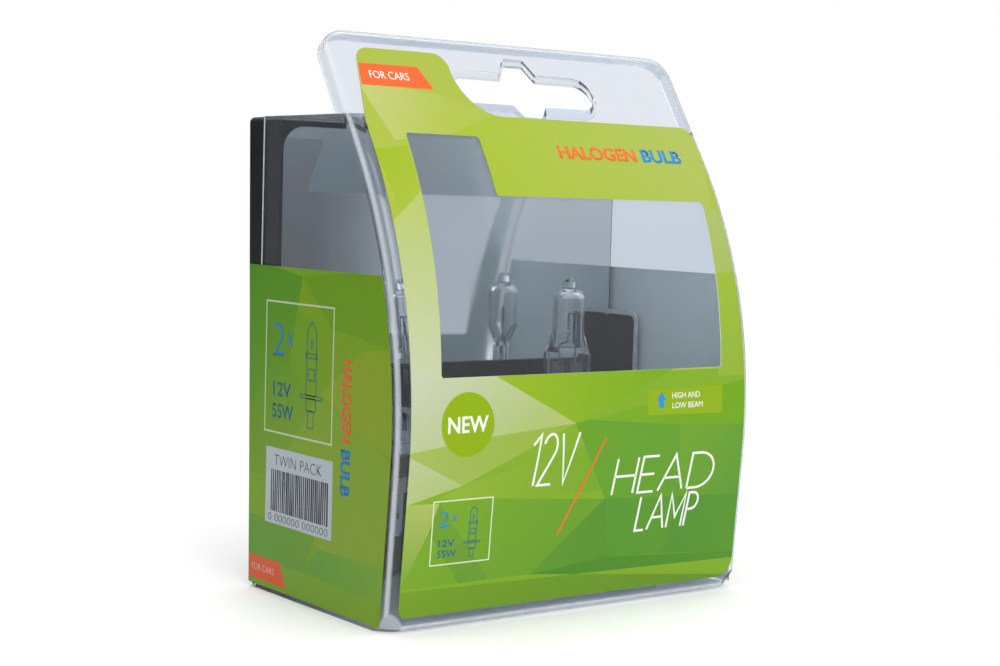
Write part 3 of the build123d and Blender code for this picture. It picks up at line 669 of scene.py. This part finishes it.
def painted_highlight_band(name, line, axis, start, thickness, body):
    """A band between an inner and an outer line of (u, v) millimetres, with a thickness along an axis."""
    band = bmesh.new()
    rows = []
    for depth in (start, start + thickness):
        for outer in (0, 1):
            corners = [Vector(pair[outer]) for pair in line]
            places = [(depth, c.x, c.y) if axis == 0 else (c.x, depth, c.y) for c in corners]
            rows.append([band.verts.new(Vector(place) * MM) for place in places])
    inner, outer, inner_far, outer_far = rows
    for k in range(len(line) - 1):
        for a, b in ((inner, outer), (outer, outer_far), (outer_far, inner_far), (inner_far, inner)):
            band.faces.new((a[k], a[k + 1], b[k + 1], b[k]))
    for k in (0, -1):
        band.faces.new((inner[k], outer[k], outer_far[k], inner_far[k]))
    bmesh.ops.recalc_face_normals(band, faces=band.faces)
    mesh = bpy.data.meshes.new(name)
    band.to_mesh(mesh)
    band.free()
    piece = bpy.data.objects.new(name, mesh)
    bpy.context.scene.collection.objects.link(piece)
    set_material(piece, painted_highlight_finish)
    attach(piece, body)


def ear_bead(side, way):
    """An L-shaped bead just outside the ear's front and top edges, with a round corner; its pale finish
    paints the highlight of the ear's rounded edge.
    """
    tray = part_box("bulb_tray")[1] / MM
    radii = (EAR_BEAD_RADIUS, EAR_BEAD_RADIUS + EAR_BEAD_WIDTH)
    corner = (EAR_FRONT + radii[0], tray.z + BEAD_GAP - radii[0])
    line = [[(corner[0] - r, EAR_BEAD_FOOT) for r in radii]]
    line += zip(*[arc(corner, (r, r), 180, 90, 8) for r in radii])
    line += [[(tray.y - BEAD_GAP, corner[1] + r) for r in radii]]
    start = way * (tray.x - EAR_BEAD_INSET) - (EAR_BEAD_THICKNESS if way < 0 else 0)
    painted_highlight_band(f"{side}_ear_bead", line, 0, start, EAR_BEAD_THICKNESS, "back")


def case_back_edge():
    """Three sides of a thin bead round the outside of the case at its open back; its pale finish paints the
    highlight line along that edge.
    """
    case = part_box("front_cover")[1] / MM
    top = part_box("back_shell")[1].z / MM
    feet = [[(way * (case.x + k), BACK_EDGE_FOOT) for k in BACK_EDGE_LAYER] for way in (-1, 1)]
    tops = [[(way * (case.x + k), top + k) for k in BACK_EDGE_LAYER] for way in (-1, 1)]
    line = [feet[0], tops[0], tops[1], feet[1]]
    painted_highlight_band("case_back_edge", line, 1, case.y - BACK_EDGE_WIDTH, BACK_EDGE_WIDTH, "case")


# pale beads whose colour paints highlight lines on the case's back edge and the ears' edges
painted_highlight_finish = painted_highlight()
for side, way in zip(SIDES, (-1, 1)):
    ear_bead(side, way)
case_back_edge()


# ---- floor, light and camera -----------------------------------------------------------------------
FLOOR_RADIUS = 0.8
FLOOR_STEPS = 96
FLOOR_GAP = 0.0001        # below the pack


def floor():
    """A round pale table; beyond it the camera sees the white room."""
    material, tree, shader = new_material("floor", base_color=(0.96, 0.96, 0.96, 1), roughness=0.6,
                                          specular_ior_level=0.2)
    link(tree, ramp(tree, noise(tree, 12, 2.0), 0.3, 0.7, 0.55, 0.7), shader, "Roughness")
    circle = arc((0, 0), (FLOOR_RADIUS, FLOOR_RADIUS), 0, 360, FLOOR_STEPS)[:-1]
    rim = [(*place, 0.0) for place in circle]
    mesh = bpy.data.meshes.new("floor")
    mesh.from_pydata(rim, [], [range(len(rim))])
    mesh.materials.append(material)
    piece = bpy.data.objects.new("floor", mesh)
    piece.location.z = CAD_LOW.z - FLOOR_GAP
    bpy.context.scene.collection.objects.link(piece)


def soft_box(name, place, size, watts):
    """A square lamp that looks at the middle of the pack."""
    lamp = bpy.data.lights.new(name, "AREA")
    lamp.size, lamp.energy = size, watts
    holder = bpy.data.objects.new(name, lamp)
    holder.location = place
    holder.rotation_euler = (PACK_MIDDLE - Vector(place)).to_track_quat("-Z", "Y").to_euler()
    bpy.context.scene.collection.objects.link(holder)


# Bearings in the room are in degrees from the front towards the right.
DARK_SIDE = (-165, -150, 31.5, 34.5)       # the dark part's two soft edges
ROOM_LIGHT = (0.16, 0.70)                  # the light of the dark part and of the rest
CEILING = (0.35, 0.7, 0.18, 1.40)          # starts and is full at these heights; its light there
BACKDROP_WAY = (0.6, 0.8, 0.0)             # behind the pack as the camera sees it
BACKDROP = (0.5, 0.85, 0.18, 0.90)         # the same as the ceiling's four, along that way
STRIP = (-58, 7, 9, 2.2)                   # a tall lamp on the left: bearing, two half widths, light


def studio():
    """A pale room with a bright ceiling and backdrop, dark on the left and in front but for one lamp."""
    world = bpy.data.worlds.new("studio")
    world.use_nodes = True
    tree = world.node_tree
    place = add(tree, "TexCoord").outputs["Generated"]
    way = add(tree, "SeparateXYZ", {0: place}).outputs
    round_angle = math_node(tree, "ARCTAN2", way["X"], math_node(tree, "MULTIPLY", way["Y"], -1.0))
    left_end, left_start, right_start, right_end = [math.radians(a) for a in DARK_SIDE]
    right = ramp(tree, round_angle, right_start, right_end)
    left = ramp(tree, round_angle, left_start, left_end)
    shade = ramp(tree, math_node(tree, "MAXIMUM", right, left), 0, 1, *ROOM_LIGHT)
    shade = math_node(tree, "MAXIMUM", shade, ramp(tree, way["Z"], *CEILING))
    behind = add(tree, "VectorMath", {0: place, 1: BACKDROP_WAY}, operation="DOT_PRODUCT").outputs["Value"]
    shade = math_node(tree, "MAXIMUM", shade, ramp(tree, behind, *BACKDROP))
    bearing, inner, outer = [math.radians(a) for a in STRIP[:3]]
    beside = math_node(tree, "ABSOLUTE", math_node(tree, "SUBTRACT", round_angle, bearing))
    shade = math_node(tree, "MAXIMUM", shade, ramp(tree, beside, inner, outer, STRIP[3], 0.0))
    seen = add(tree, "LightPath").outputs["Is Camera Ray"]
    strength = math_node(tree, "MAXIMUM", shade, seen)
    background = tree.nodes["Background"]
    background.inputs["Color"].default_value = (1, 1, 1, 1)
    tree.links.new(strength, background.inputs["Strength"])
    bpy.context.scene.world = world


floor()
soft_box("key", (-0.1, -0.75, 0.75), 0.6, 3)
studio()
bpy.context.scene.view_settings.view_transform = "Standard"

# The camera stands off to the left, a little below the pack's top.
CAMERA_PLACE = (-0.29191, -0.38795, 0.10246)
CAMERA_TURN = (85.867, -1.686, -36.810)     # degrees
CAMERA_LENS = 66.37

camera = bpy.data.cameras.new("camera")
camera.lens = CAMERA_LENS
holder = bpy.data.objects.new("camera", camera)
holder.location = CAMERA_PLACE
holder.rotation_euler = Euler([math.radians(a) for a in CAMERA_TURN])
bpy.context.scene.collection.objects.link(holder)
bpy.context.scene.camera = holder
